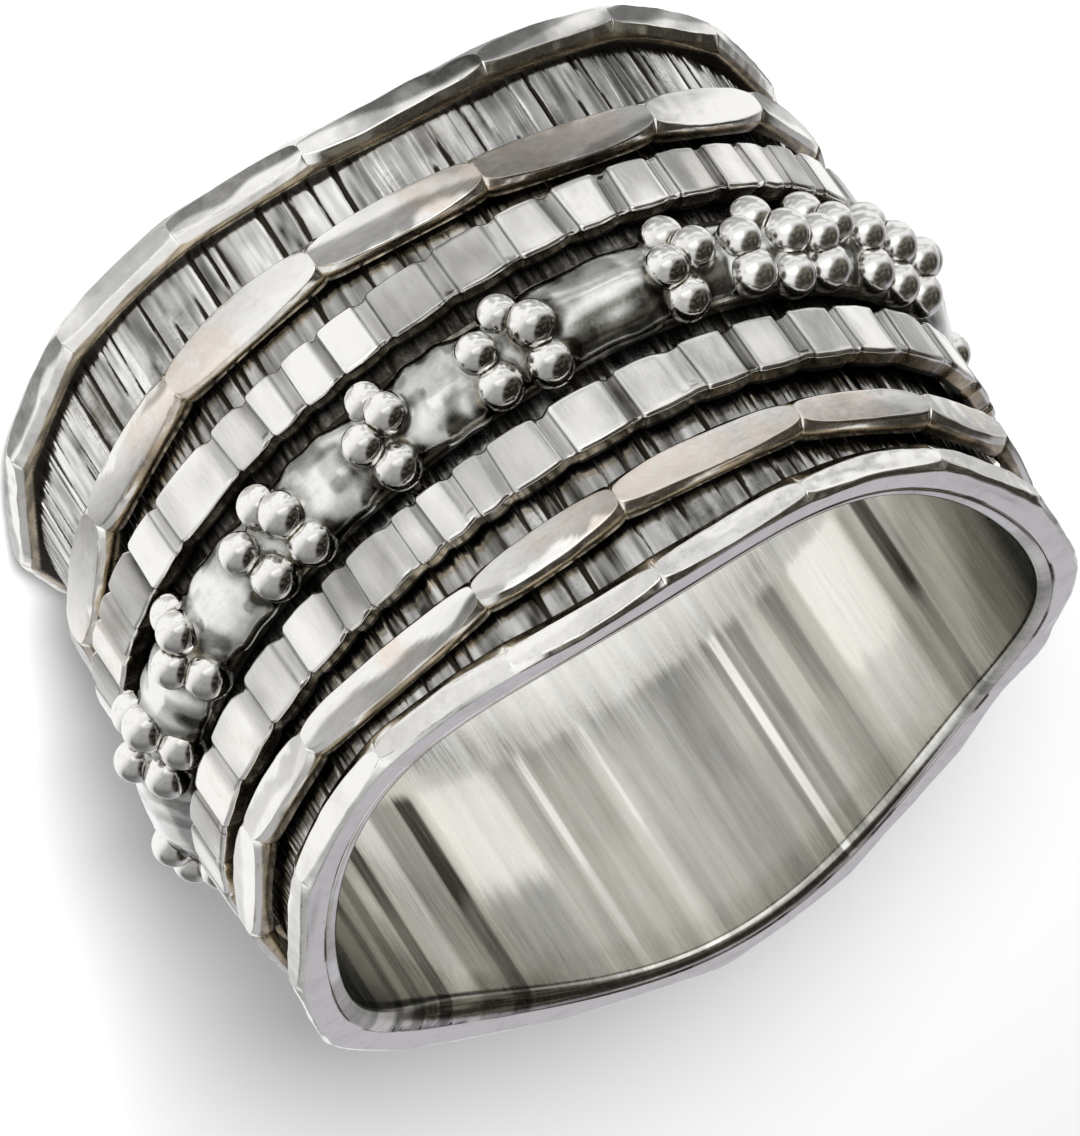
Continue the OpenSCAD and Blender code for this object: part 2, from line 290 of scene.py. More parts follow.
def outward(points, faces):
    """The faces, turned so that the closed mesh's volume is positive."""
    p = points[faces]
    volume = np.einsum("ij,ij->i", p[:, 0], np.cross(p[:, 1], p[:, 2])).sum()
    volume += np.einsum("ij,ij->i", p[:, 0], np.cross(p[:, 2], p[:, 3])).sum()
    return faces if volume > 0 else faces[:, ::-1]


def lane(child):
    """Turns points that lie about Z = 0 into the lane of a loose band, from its joint in the frame."""
    joint = next(j for j in frame["joints"] if j["child"] == child)
    tilt = Vector((0, 0, 1)).rotation_difference(Vector(joint["axis"])).to_matrix()
    turn = np.array(tilt)
    middle = np.array(joint["pos_m"]) / MM
    return lambda points: points @ turn.T + middle


def dress(obj, material, body, slot_name, *nodes):
    obj.data.materials.append(material)
    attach(obj, body)
    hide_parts(*nodes)


def ring_piece(name, angle, radius, height, marks, material, body, slot_name, node):
    """A dressed closed ring, from the loop of radii and heights at each angle."""
    points = ring_points(angle, radius, height).reshape(-1, 3)
    if body != "ring":
        points = lane(body)(points)
    faces = outward(points, ring_faces(*radius.shape))
    dress(make_mesh(name, points, faces, marks), material, body, slot_name, node)


class Nodes:
    """Short calls for building a node tree."""

    def __init__(self, tree):
        self.tree = tree
        tree.nodes.clear()

    def add(self, kind, inputs=None, **settings):
        """A node, with what goes into its inputs by their names or numbers."""
        node = self.tree.nodes.new(kind)
        for key, value in settings.items():
            setattr(node, key, value)
        for key, value in (inputs or {}).items():
            if isinstance(value, bpy.types.NodeSocket):
                self.tree.links.new(value, node.inputs[key])
            else:
                node.inputs[key].default_value = value
        return node

    def math(self, operation, a, b, clamp=False):
        return self.add("ShaderNodeMath", {0: a, 1: b}, operation=operation, use_clamp=clamp).outputs[0]

    def plus(self, a, b, clamp=False):
        return self.math("ADD", a, b, clamp)

    def minus(self, a, b):
        return self.math("SUBTRACT", a, b)

    def times(self, a, b):
        return self.math("MULTIPLY", a, b)

    def ramp(self, value, low, high, start=0.0, end=1.0):
        inputs = {"Value": value, "From Min": low, "From Max": high, "To Min": start, "To Max": end}
        return self.add("ShaderNodeMapRange", inputs, interpolation_type="SMOOTHSTEP").outputs["Result"]

    def blend(self, share, a, b):
        inputs = {"Factor": share, "A": a, "B": b}
        return self.add("ShaderNodeMix", inputs, data_type="RGBA").outputs["Result"]

    def noise(self, vector, scale, detail=3.0, rough=0.55):
        inputs = {"Vector": vector, "Scale": scale, "Detail": detail, "Roughness": rough}
        return self.add("ShaderNodeTexNoise", inputs).outputs["Fac"]

    def parts(self, vector):
        return self.add("ShaderNodeSeparateXYZ", {0: vector}).outputs

    def toward(self, way, middle, outer, inner):
        """1 within inner degrees of a direction, fading to 0 at outer degrees."""
        inputs = {0: way, 1: Vector(middle).normalized()}
        dot = self.add("ShaderNodeVectorMath", inputs, operation="DOT_PRODUCT").outputs["Value"]
        return self.ramp(dot, math.cos(math.radians(outer)), math.cos(math.radians(inner)))

    def mark(self, name):
        return self.add("ShaderNodeAttribute", attribute_type="GEOMETRY", attribute_name=name).outputs["Fac"]

    def stretched(self, x, y, z):
        """The object's own coordinates in millimetres, scaled along each axis."""
        place = self.add("ShaderNodeTexCoord").outputs["Object"]
        inputs = {"Vector": place, "Scale": (x / MM, y / MM, z / MM)}
        return self.add("ShaderNodeMapping", inputs).outputs["Vector"]


WHITE = (1, 1, 1, 1)
BLACK = (0, 0, 0, 1)
LILAC = (0.50, 0.485, 0.53, 1)
DARK_CEILING = (0.035, 0.03, 0.024, 1)
PALE_CEILING = (0.20, 0.19, 0.155, 1)
FRONT_WHITE = (1.6, 1.6, 1.58, 1)
ROOM = (0.50, 0.50, 0.50, 1)
SILVER = (0.93, 0.918, 0.888, 1)
SHADE = (0.045, 0.042, 0.034, 1)
PEACH = (0.88, 0.76, 0.66, 1)
STRAW = (0.88, 0.865, 0.79, 1)
DULL_SILVER = (0.84, 0.83, 0.81, 1)
SOOT_AND_SHADE = (0.036, 0.030, 0.022, 1)
BROWN_DARK = (0.20, 0.16, 0.10, 1)
BROWN_LIGHT = (0.66, 0.55, 0.38, 1)
SATIN = (0.90, 0.91, 0.885, 1)
SLEEVE_SILVER = (0.93, 0.925, 0.905, 1)
PAPER = (0.66, 0.66, 0.66, 1)
PAPER_GLOW = (0.04, 0.04, 0.04, 1)
HOLE_MIDDLE = (1.25, 1.25, 1.24, 1)
HOLE_EDGE = (0.35, 0.34, 0.30, 1)
SCRATCH_DEPTH = 0.004
# Where the silver sees its light, a dark ceiling and a lilac wall
FRONT_LIGHT = (-0.22, -0.97, 0.10)
CEILING_AT = (-0.55, 0.09, 0.83)
WALL_AT = (0.0, 0.91, 0.41)


def silver(name, shine, haze, tone=SILVER, warm=PEACH, dull=0.08, scratch=0.25, grain=(1, 1, 1),
           streaks=0.12, blotch=0.0, zones=None):
    """Silver that follows a mesh's marks: soot is black oxide and, on the sleeve, painted shade too, brown
    its thin edge, warm a tarnish and tone how light the metal is, much of it painted reflection and painted
    shade. With zones, a pair of heights, the marks tone_low and tone_high, painted reflections in the bore,
    take over below and above them."""
    material = bpy.data.materials.new(name)
    material.use_nodes = True
    n = Nodes(material.node_tree)
    place = n.stretched(1, 1, 1)
    lines = n.stretched(*grain)
    mottle = n.noise(place, 1.7, 4.0, 0.6)
    speck = n.noise(place, 9.0, 3.0, 0.65)
    fine = n.noise(lines, 12.0, 4.0, 0.6)
    wide = n.noise(lines, 3.2, 3.0, 0.6)
    layers = n.noise(n.stretched(0.10, 0.10, 1), 8.0, 3.0, 0.6)
    speck_off = n.minus(speck, 0.5)
    mottle_off = n.minus(mottle, 0.5)
    soot_and_shade = n.plus(n.mark("soot_and_shade"), n.times(speck_off, 0.5))
    soot_and_shade = n.times(n.ramp(soot_and_shade, 0.25, 0.75), n.ramp(n.mark("soot_and_shade"), 0.02, 0.12))
    brown = n.plus(n.mark("brown"), n.times(mottle_off, 0.6))
    brown = n.times(n.ramp(brown, 0.3, 0.8), n.ramp(n.mark("brown"), 0.02, 0.2))
    peach = n.plus(n.mark("warm"), n.times(mottle_off, 1.5))
    peach = n.ramp(n.plus(peach, n.times(speck_off, 0.9)), 0.35, 1.0)
    light = n.mark("tone")
    if zones is not None:
        height = n.parts(place)["Z"]
        ragged = n.minus(n.noise(lines, 5.0, 4.0, 0.7), 0.5)
        above = n.plus(height, n.times(ragged, 1.0))
        light = n.ramp(n.ramp(above, zones[1] - 0.7, zones[1] + 0.7), 0.0, 1.0, light, n.mark("tone_high"))
        above = n.plus(height, n.times(ragged, 0.5))
        light = n.ramp(n.ramp(above, zones[0] - 0.3, zones[0] + 0.3), 0.0, 1.0, n.mark("tone_low"), light)
    if blotch:
        spots = n.ramp(n.noise(place, 1.25, 3.0, 0.55), 0.36, 0.62, -1.0, 0.25)
        light = n.plus(light, n.times(spots, blotch))
    light = n.plus(light, n.times(n.minus(wide, 0.5), 2.2 * streaks))
    light = n.plus(light, n.times(n.minus(fine, 0.5), 1.4 * streaks), clamp=True)
    clean = n.blend(light, SHADE, tone)
    color = n.blend(n.times(peach, 0.75), clean, n.blend(light, SHADE, warm))
    rust = n.blend(n.ramp(layers, 0.38, 0.66), BROWN_DARK, BROWN_LIGHT)
    color = n.blend(n.times(brown, 0.9), color, rust)
    color = n.blend(soot_and_shade, color, SOOT_AND_SHADE)
    rough = n.ramp(fine, 0.3, 0.75, shine, shine + haze)
    rough = n.plus(rough, n.times(peach, dull))
    rough = n.plus(rough, n.times(brown, 0.12))
    rough = n.plus(rough, n.times(soot_and_shade, 0.3), clamp=True)
    scratches = n.plus(fine, n.times(speck, 0.6))
    bump = n.add("ShaderNodeBump", {"Strength": scratch, "Distance": SCRATCH_DEPTH * MM, "Height": scratches})
    shader = n.add("ShaderNodeBsdfPrincipled", {"Metallic": 1.0, "Base Color": color, "Roughness": rough,
                                                "Normal": bump.outputs["Normal"]})
    n.add("ShaderNodeOutputMaterial", {"Surface": shader.outputs[0]})
    return material


# Hammered wire

def facet_columns(shares, repeats, start):
    """Angles of the columns with, for each, its facet's length, its place along the facet, and the facet's
    number."""
    starts, lengths = steps(shares, repeats, start)
    u = 0.5 - 0.5 * np.cos(np.pi * np.arange(FACET_COLUMNS) / FACET_COLUMNS)
    u = 0.75 * u + 0.25 * np.arange(FACET_COLUMNS) / FACET_COLUMNS
    angle = (starts[:, None] + lengths[:, None] * u).ravel()
    length = np.repeat(lengths, FACET_COLUMNS)
    return angle, length, np.tile(u, len(starts)), np.repeat(np.arange(len(starts)), FACET_COLUMNS)


def flat_radius(ridge_r, length, u):
    """Radius along a flat of a given length in degrees, which is nearly a chord between its two ridges."""
    chord = np.cos(np.radians(length / 2)) / np.cos(np.radians(length * (u - 0.5)))
    return ridge_r * (1 - FLATNESS * (1 - chord))


def dented(loops, angle, seed, amount, floor_r):
    """Small hammer dents and a hand-made unevenness, only where the radius is past floor_r."""
    r, z = loops[..., 0], loops[..., 1]
    a = np.broadcast_to(angle[:, None], r.shape)
    weight = smoothstep(floor_r, floor_r + 0.2, r)
    dent = 0.6 * lattice(a, z, 80, 0.9, seed + 4) + lattice(a, z, 140, 0.5, seed)
    dent = dent + 0.35 * lattice(a, z, 300, 0.22, seed + 1)
    sway = lattice(a, z * 0, 40, 1.0, seed + 2)
    out = loops.copy()
    out[..., 0] += amount * weight * dent
    out[..., 1] += 0.035 * weight * sway
    return out


def facet_light(facet, u, across, seed, darkest, slope):
    """How light each facet is: a level of its own, and a gradient along and across it."""
    rng = np.random.default_rng(seed)
    count = facet.max() + 1
    level = rng.uniform(darkest, 1.2, count)[facet][:, None]
    along = rng.uniform(-slope, slope, count)[facet] * (u - 0.5)
    over = rng.uniform(-0.5, 0.5, count)[facet][:, None] * slope * np.clip(across, -1, 1)
    return level + along[:, None] + over


def mirrored(facet, u, out, angle, height, seed, levels):
    """How light the flats are: white, and past a ragged border a darker reflection. out runs from -1 to 1
    across a flat, and the reflection is where it is high."""
    rng = np.random.default_rng(seed)
    count = facet.max() + 1
    level = rng.choice(levels, count)[facet][:, None]
    level = level + (rng.uniform(-0.35, 0.35, count)[facet] * (u - 0.5))[:, None]
    border = rng.uniform(-0.4, 0.5, count)[facet] + rng.uniform(-1.0, 1.0, count)[facet] * (u - 0.5)
    border = border[:, None] + 0.3 * lattice(angle, height, 70, 0.8, seed + 1)
    share = smoothstep(-0.12, 0.12, out - border)
    return 1 - share + level * share


def outline(from_mid, flat, u, length, angle, height, seed):
    """Thin ragged dark lines along the edges of each flat and between two flats."""
    side = np.exp(-((from_mid - flat[:, None]) / 0.026) ** 2)
    end = np.exp(-(np.minimum(u, 1 - u) * length / 0.2) ** 2)[:, None] * (from_mid < flat[:, None] + 0.1)
    ragged = smoothstep(-0.45, 0.45, lattice(angle, height, 220, 0.5, seed))
    return np.maximum(side * ragged, 0.4 * end * (0.4 + 0.6 * ragged))


def hammered_band(name, body, width, wave, waves, crest, flats, start, material, seed):
    """A loose hammered wire ring that waves along the finger."""
    angle, length, u, facet = facet_columns(flats, BAND_REPEATS, start)
    rng = np.random.default_rng(seed)
    vary = rng.uniform(0.93, 1.07, facet.max() + 1)[facet]
    half = width / 2
    mid = wave * np.cos(np.radians(waves * (angle - crest)))
    r = flat_radius(RUN_R + HAMMERED_T, length, u)
    edge_r = r - EDGE_DROP * HAMMERED_T
    flat = np.minimum(half * mix(FLAT_SHARE, fullness(u) ** 0.65) * vary, half * 0.92)
    edge = half * mix(EDGE_SHARE, fullness(u))
    tilt = rng.uniform(-0.07, 0.07, facet.max() + 1)[facet] * np.sin(np.pi * u)
    inner = np.full_like(r, RUN_R)
    corners = section((inner, mid - edge * 0.94), (edge_r, mid - edge), (r - tilt, mid - flat),
                      (r + tilt, mid + flat), (edge_r, mid + edge), (inner, mid + edge * 0.94))
    loops = dented(rounded(corners, BAND_ROUND, BAND_POINTS), angle, seed, BAND_DENT, RUN_R + 0.2)
    r_all, z_all = loops[..., 0], loops[..., 1]
    a_all = np.broadcast_to(angle[:, None], r_all.shape)
    from_mid = np.abs(z_all - mid[:, None])
    depth = r[:, None] - r_all
    line = outline(from_mid, flat, u, length, a_all, z_all, seed + 3)
    soot_and_shade = np.maximum(smoothstep(0.38, 0.56, depth), 0.35 * line)
    brown = np.maximum(smoothstep(0.10, 0.20, depth), 0.6 * line)
    patch = lattice(a_all, z_all, 30, 2.0, seed + 7)
    warm = 0.85 * smoothstep(0.0, 0.7, patch) * (1 - smoothstep(0.75, 1.0, from_mid / half))
    over = (z_all - mid[:, None]) / half
    # Tone: a random level for each flat, and a painted reflection that darkens it past a ragged border; the
    # sides below the flat stay light.
    light = facet_light(facet, u, over, seed + 8, 0.55, 0.65)
    flip = np.random.default_rng(seed + 10).choice([-1, 1], facet.max() + 1)[facet][:, None]
    light = np.minimum(light, mirrored(facet, u, over * flip, a_all, z_all, seed + 9, BAND_LEVELS))
    light = np.maximum(light, smoothstep(0.012, 0.03, depth))
    marks = {"soot_and_shade": soot_and_shade, "brown": brown, "warm": warm, "tone": light}
    ring_piece(name, a_all, r_all, z_all, marks, material, body, "hammered_silver", name.rsplit("_", 1)[0])


def rim(name, flats, start, edge_of, side, levels, material, seed):
    """A hammered rim with its flat mouth face; side is 1 on the top rim."""
    angle, length, u, facet = facet_columns(flats, RIM_REPEATS, start)
    rng = np.random.default_rng(seed)
    vary = rng.uniform(0.9, 1.08, facet.max() + 1)[facet]
    out = corner(angle) if side > 0 else np.zeros_like(angle)
    edge = edge_of(angle)
    r = flat_radius(SLEEVE_R + RIM_T, length, u) + out
    half = RIM_W / 2
    mid = edge - side * half
    flat = half * mix(RIM_FLAT_SHARE, fullness(u) ** 0.65) * vary
    flat_mid = mid + side * half * RIM_FLAT_OUT
    inner = np.full_like(r, LIP_R) + 0.5 * CORNER_MOUTH * out
    low_r = r - EDGE_DROP * RIM_T
    face_r = r - MOUTH_DROP * RIM_T
    corners = section((inner, mid - side * half), (low_r, mid - side * half), (r, flat_mid - side * flat),
                      (r, flat_mid + side * flat), (face_r, edge), (inner, edge))
    loops = dented(rounded(corners, RIM_ROUND, RIM_POINTS), angle, seed, RIM_DENT, SLEEVE_R + 0.1)
    r_all, z_all = loops[..., 0], loops[..., 1]
    a_all = np.broadcast_to(angle[:, None], r_all.shape)
    below = (edge[:, None] - z_all) * side
    channel = smoothstep(0.62, 0.9, below)
    soot_and_shade = channel * smoothstep(0.20, 0.45, r[:, None] - r_all)
    brown = smoothstep(0.5, 0.65, below) * smoothstep(0.10, 0.20, r[:, None] - r_all)
    line = outline(np.abs(z_all - flat_mid[:, None]), flat, u, length, a_all, z_all, seed + 3)
    line = line * smoothstep(-0.10, -0.03, r_all - r[:, None])
    seam = (1 - smoothstep(0.02, 0.10, r_all - inner[:, None])) * (1 - smoothstep(0.0, 0.2, below))
    seam *= 0.4 + 0.6 * smoothstep(-0.5, 0.4, lattice(a_all, z_all * 0, 90, 1.0, seed + 5))
    patch = lattice(a_all, z_all, 20, 2.0, seed + 7)
    warm = 0.7 * smoothstep(0.25, 0.8, patch) * smoothstep(0.1, 0.3, below)
    # Tone: a painted darker reflection past a ragged border on each flat; the sides below the flat and the
    # mouth face stay light.
    light = mirrored(facet, u, (z_all - mid[:, None]) * side / half, a_all, z_all, seed + 8, levels)
    light = np.maximum(light, smoothstep(0.012, 0.03, r[:, None] - r_all))
    light = np.maximum(light, 0.9 * (1 - smoothstep(0.0, 0.05, below)))
    dark = np.maximum(0.62 * seam, 0.45 * line)
    marks = {"soot_and_shade": np.maximum(soot_and_shade, dark), "brown": np.maximum(brown, dark), "warm": warm, "tone": light}
    ring_piece(name, a_all, r_all, z_all, marks, material, "ring", "base_silver", "base_band")


# Sleeve

def bark(angle, along):
    """Depth from 0 to 1 of the dark lines in the sleeve, and how light the metal between them is, with a
    painted highlight along one edge of each line.
    """
    rng = np.random.default_rng(41)
    starts, _ = steps(rng.uniform(0.35, 1.9, BARK_LINES), 1, 0)
    fine_starts, _ = steps(rng.uniform(0.3, 1.7, FINE_LINES), 1, 0)
    depth = np.zeros_like(angle)
    ridge_highlight = np.zeros_like(angle)
    for at, deep, thick in [(s, (0.4, 1.0), (0.28, 0.62)) for s in starts] + [
            (s, (0.12, 0.4), (0.12, 0.30)) for s in fine_starts]:
        strong, width = rng.uniform(*deep), rng.uniform(*thick)
        slant = rng.uniform(-0.5, 0.5)
        sway = 0.12 * np.sin(along * rng.uniform(0.6, 1.6) + at)
        centre = at + slant * (along - MID_Z) / MID_Z + sway
        off = turned(angle, centre)
        reach = 0.1 + 0.9 * smoothstep(-0.6, 0.2, np.sin(along * rng.uniform(0.4, 1.1) + 7 * at))
        depth = np.maximum(depth, strong * reach * (1 - smoothstep(width * 0.3, width, np.abs(off))))
        # Painted highlight just past one edge of each line
        ridge_highlight = np.maximum(ridge_highlight, strong * reach * np.exp(-((off - width - 0.08) / 0.11) ** 2))
    plate = rng.uniform(0.30, 0.85, BARK_LINES)
    index = np.searchsorted(starts, np.mod(angle, 360)) % BARK_LINES
    return depth, plate[index] + 0.55 * ridge_highlight


def bore_light(angle, values):
    """Painted reflections in the bore: how light it is at each angle, lighter away from the part the camera
    sees and set by its table of reflection streaks. values is 0 in the middle and 1 near the top mouth."""
    far = smoothstep(80, 108, np.abs(turned(angle, BORE_SEEN)))
    light = 0.68 + 0.18 * lattice(angle, angle * 0, 60, 1.0, 51)
    light = light + 0.08 * lattice(angle, angle * 0, 150, 1.0, 52)
    light = light + 0.3 * far
    wander = 0.35 * lattice(angle, angle * 0, 240, 1.0, 53)
    for at, half, high, low in BORE_REFLECTION_STREAKS:
        off = np.abs(turned(angle + wander, at))
        share = 1 - smoothstep(0.72 * half, 1.15 * half, off)
        light = light * (1 - share) + (high, low)[values] * share
    return np.maximum(light, 0) ** BORE_CONTRAST


def sleeve(material):
    """The thin sleeve: its polished bore, its two lips, and the dark lines cut in its outside."""
    columns = SLEEVE_COLUMNS
    angle = np.arange(columns) * 360 / columns
    bottom, top = low_edge(angle), high_edge(angle)
    flare = CORNER_MOUTH * corner(angle)
    bark_rows = np.concatenate([np.linspace(0, 0.18, 7), [0.3, 0.5, 0.65], np.linspace(0.76, 1, 12)])
    turn = np.linspace(0, np.pi / 2, LIP_ROWS)
    rows = []
    for s in np.linspace(0, 1, BORE_ROWS):
        rows.append((np.full(columns, BORE_R), mix((bottom + LIP_ROUND, top - LIP_ROUND - flare), s)))
    for a in turn[1:]:
        reach = LIP_ROUND + flare
        rows.append((BORE_R + reach * (1 - np.cos(a)), top - reach + reach * np.sin(a)))
    lip = LIP_R - LIP_TUCK + flare
    rows.append((lip, top - LIP_TOP))
    rows.append((lip, top - LIP_FOOT))
    for s in bark_rows:
        rows.append((np.full(columns, SLEEVE_R), mix((top - RIM_W + 0.1, bottom + RIM_W - 0.1), s)))
    lip = LIP_R - LIP_TUCK
    rows.append((np.full(columns, lip), bottom + LIP_FOOT))
    rows.append((np.full(columns, lip), bottom + LIP_TOP))
    for a in turn[::-1][:-1]:
        rows.append((BORE_R + LIP_ROUND * (1 - np.cos(a)), bottom + LIP_ROUND - LIP_ROUND * np.sin(a)))
    r = np.stack([np.broadcast_to(row[0], columns) for row in rows], axis=1)
    z = np.stack([np.broadcast_to(row[1], columns) for row in rows], axis=1)
    a = np.broadcast_to(angle[:, None], r.shape)
    outside = smoothstep(SLEEVE_R - 0.02, SLEEVE_R - 0.01, r)
    depth, plates = bark(a, z)
    chip = lattice(a, z, 360, 0.5, 46)
    depth = np.clip(depth * (0.85 + 0.45 * chip), 0, 1) * outside
    grain = lattice(a, z, 500, 1.6, 43)
    r = r - BARK_DEPTH * depth - GRAIN_DEPTH * outside * (0.5 + 0.5 * grain)
    wall = 1 - smoothstep(BORE_R + 0.001, BORE_R + 0.01, r)
    ripple = lattice(a, z, 26, 9.0, 47) * 0.5 + lattice(a, z, 60, 6.0, 48) * 0.2
    r = r + BORE_RIPPLE * wall * (1 + ripple)
    # Painted shade on the sleeve's outside, in the soot mark: darker next to each rim and in the lane beside
    # the granulated wire, between about 5 and 10 mm up. The metal between the lines is also darker above
    # about 3 mm, in the narrow gaps between the bands.
    near_rim = np.minimum(z - bottom[:, None], top[:, None] - z)
    shadow = 0.5 * (1 - smoothstep(0.75, 1.3, near_rim))
    painted_gap_shade = 0.70 * smoothstep(4.6, 6.0, z) * (1 - smoothstep(9.0, 10.0, z))
    plates = plates * (1 - 0.45 * smoothstep(2.6, 4.0, z)) * PLATE_LEVEL
    soot_and_shade = np.maximum(smoothstep(0.12, 0.6, depth), np.maximum(shadow, painted_gap_shade))
    soot_and_shade = np.maximum(soot_and_shade, 0.20 + 0.25 * lattice(a, z, 70, 3.0, 44)) * outside
    metal = outside * (plates + 0.15 * grain + 0.3 * chip)
    # Tone inside is painted reflection: the bore's streaks in the middle and near the top mouth, and below
    # them a wall that is lighter towards the sides of the part the camera sees.
    light = metal + (1 - outside) * bore_light(angle, 0)[:, None]
    light_high = metal + (1 - outside) * bore_light(angle, 1)[:, None]
    side = smoothstep(45, 65, np.abs(turned(angle, BORE_SEEN)))
    low_wall = 0.76 + 0.2 * side + 0.05 * lattice(angle, angle * 0, 60, 1.0, 54)
    light_low = metal + (1 - outside) * low_wall[:, None] * 0.92
    # A warm straw tint in the bore, stronger at the top mouth and taken away where the bore's painted
    # reflection is brightest.
    mouth = (1 - outside) * smoothstep(-1.6, -0.3, z - top[:, None])
    straw = (1 - outside) * (0.85 + 0.3 * lattice(a, z, 18, 5.0, 49)) + 0.6 * mouth
    straw = straw - 0.9 * (1 - outside) * smoothstep(0.8, 1.0, bore_light(angle, 0))[:, None]
    stain = outside * (0.2 + 0.2 * lattice(a, z, 24, 2.0, 45))
    marks = {"soot_and_shade": np.clip(soot_and_shade, 0, 1), "brown": stain, "warm": straw, "tone": light, "tone_low": light_low,
             "tone_high": light_high}
    ring_piece("base_sleeve", a, r, z, marks, material, "ring", "base_silver", "base_band")


# Fluted bands

def fluted_band(name, body, width, flutes, start, material, seed):
    """A loose flat band. Each of its flutes has a sunk strip, gouged from one edge, and a broad flat."""
    starts, lengths = steps(flutes, BAND_REPEATS, start)
    rng, ends = np.random.default_rng(seed), np.random.default_rng(seed + 50)
    places = np.array([0, 0.012, 0.03, 0.06, 0.10, 0.15, 0.19, 0.22, 0.26, 0.32, 0.40, 0.48, 0.56, 0.64, 0.72,
                       0.80, 0.86, 0.90, 0.94, 0.97, 0.988])
    angle, low, draw, crease, light, hollow, end_at, end_side = [], [], [], [], [], [], [], []
    for at, length in zip(starts, lengths):
        strip = rng.uniform(0.16, 0.32)
        deep = rng.uniform(0.45, 1.0)
        sag = rng.uniform(-0.08, 0.28)
        profile_at = [0, 0.02, 0.25 * strip, 0.5 * strip, 0.75 * strip, strip, strip + 0.04, 0.6, 0.95, 1.0]
        profile = [0.2, 0.26, 0.4 * deep, 0.45 * deep, 0.4 * deep, 0.26, 0.08, max(sag, 0.0), 0.04, 0.2]
        dip = np.interp(places, [0.02, 0.25 * strip, 0.5 * strip, 0.8 * strip, strip], [0, 0.8, 1, 0.7, 0])
        hollow.append(dip * deep)
        end_at.append(np.full(len(places), ends.uniform(0.35, 1.1)))
        end_side.append(np.full(len(places), ends.choice([-1, 1], p=[0.25, 0.75])))
        edge_at = [0, 0.5 * strip, strip + 0.04, 0.6, 0.95, 1.0]
        edge = [0.45, 0.35 + 0.35 * deep, 0.20, 0.0, 0.15, 0.45]
        main, thin = rng.choice([0.52, 0.74, 0.94, 1.08], p=[0.15, 0.2, 0.3, 0.35]), rng.uniform(0.3, 0.9)
        levels = [thin * 0.8, thin, main * rng.uniform(0.75, 1.0), main, main * rng.uniform(0.7, 1.0)]
        light.append(np.interp(places, [0, strip, strip + 0.06, 0.6, 1.0], levels))
        angle.append(at + length * places)
        low.append(np.interp(places, profile_at, profile))
        draw.append(np.interp(places, edge_at, edge))
        crease.append(np.exp(-(places / 0.02) ** 2) + np.exp(-((1 - places) / 0.02) ** 2)
                      + 0.75 * np.exp(-((places - strip) / 0.018) ** 2))
    angle, low, draw, crease, light = (np.concatenate(v) for v in (angle, low, draw, crease, light))
    hollow, end_at, end_side = (np.concatenate(v)[:, None] for v in (hollow, end_at, end_side))
    half = width / 2
    r = RUN_R + FLUTED_T - low * GROOVE
    edge = half - 1.3 * draw * GROOVE
    inner = np.full_like(r, RUN_R)
    corners = section((inner, -edge), (r - BEVEL, -edge), (r, BEVEL - edge), (r, edge - BEVEL),
                      (r - BEVEL, edge), (inner, edge))
    loops = rounded(corners, FLUTED_ROUND, FLUTED_POINTS)
    r_all, z_all = loops[..., 0], loops[..., 1]
    a_all = np.broadcast_to(angle[:, None], r_all.shape)
    top = smoothstep(RUN_R + 0.3, RUN_R + 0.45, r_all)
    slant = 0.35 * lattice(a_all * 0 + angle[:, None], z_all * 0, 45, 1.0, seed + 3)
    a_all = a_all + slant * z_all / half * top
    r_all = r_all + 0.006 * top * lattice(a_all, z_all, 200, 0.7, seed + 1)
    along = z_all / half * end_side
    cut = hollow * (1 - smoothstep(end_at, end_at + 0.22, along)) * top
    stop = (hollow > 0.3) * np.exp(-((along - end_at - 0.12) / 0.06) ** 2) * top
    depth = r[:, None] - r_all
    r_all = r_all - 0.75 * GROOVE * cut
    ragged = 0.25 + 0.75 * smoothstep(-0.5, 0.5, lattice(a_all, z_all, 160, 0.5, seed + 8))
    crease = smoothstep(0.25, 0.9, crease)[:, None] * top
    soot_and_shade = np.maximum(0.52 * crease * ragged, smoothstep(0.34, 0.5, depth))
    brown = np.maximum(0.35 * crease, smoothstep(0.085, 0.13, depth))
    brown = np.maximum(brown, 0.4 * stop)
    warm = 0.55 * smoothstep(0.1, 0.8, lattice(a_all, z_all, 22, 2.0, seed + 5))
    # Tone: a random level for the strip and the flat of each flute, with painted shade in the gouge, at its
    # stop and along the creases; the sides stay light.
    light = light[:, None] + 0.12 * lattice(a_all, z_all, 90, 0.7, seed + 6)
    light = light - 0.3 * cut - 0.4 * stop
    light = np.maximum(light, smoothstep(0.015, 0.04, depth)) * (1 - 0.75 * crease)
    marks = {"soot_and_shade": soot_and_shade, "brown": brown, "warm": warm, "tone": light}
    ring_piece(name, a_all, r_all, z_all, marks, material, body, "fluted_silver", name.rsplit("_", 1)[0])


# Granulated band

def clusters():
    """Middle of every cluster, and how far it is to the next."""
    return steps(CLUSTER_STEPS, 1, CLUSTER_START)


def granules():
    """Middle, in the band's own frame, and radius of every granule."""
    rng = np.random.default_rng(7)
    out = []
    for k, middle in enumerate(clusters()[0]):
        for off, around, share in SMALL_CLUSTER if k % 2 == 0 else LARGE_CLUSTER:
            off = off + rng.uniform(-0.25, 0.25)
            around = math.radians(around + rng.uniform(-4, 3))
            size = GRANULE_R * share * rng.uniform(0.95, 1.03)
            seat = GRANULE_SEAT - (size - GRANULE_R)
            r = WIRE_AT + seat * math.cos(around)
            centre = ring_points(np.array(middle + off), np.array(r), np.array(seat * math.sin(around)))
            out.append((centre, size))
    return out


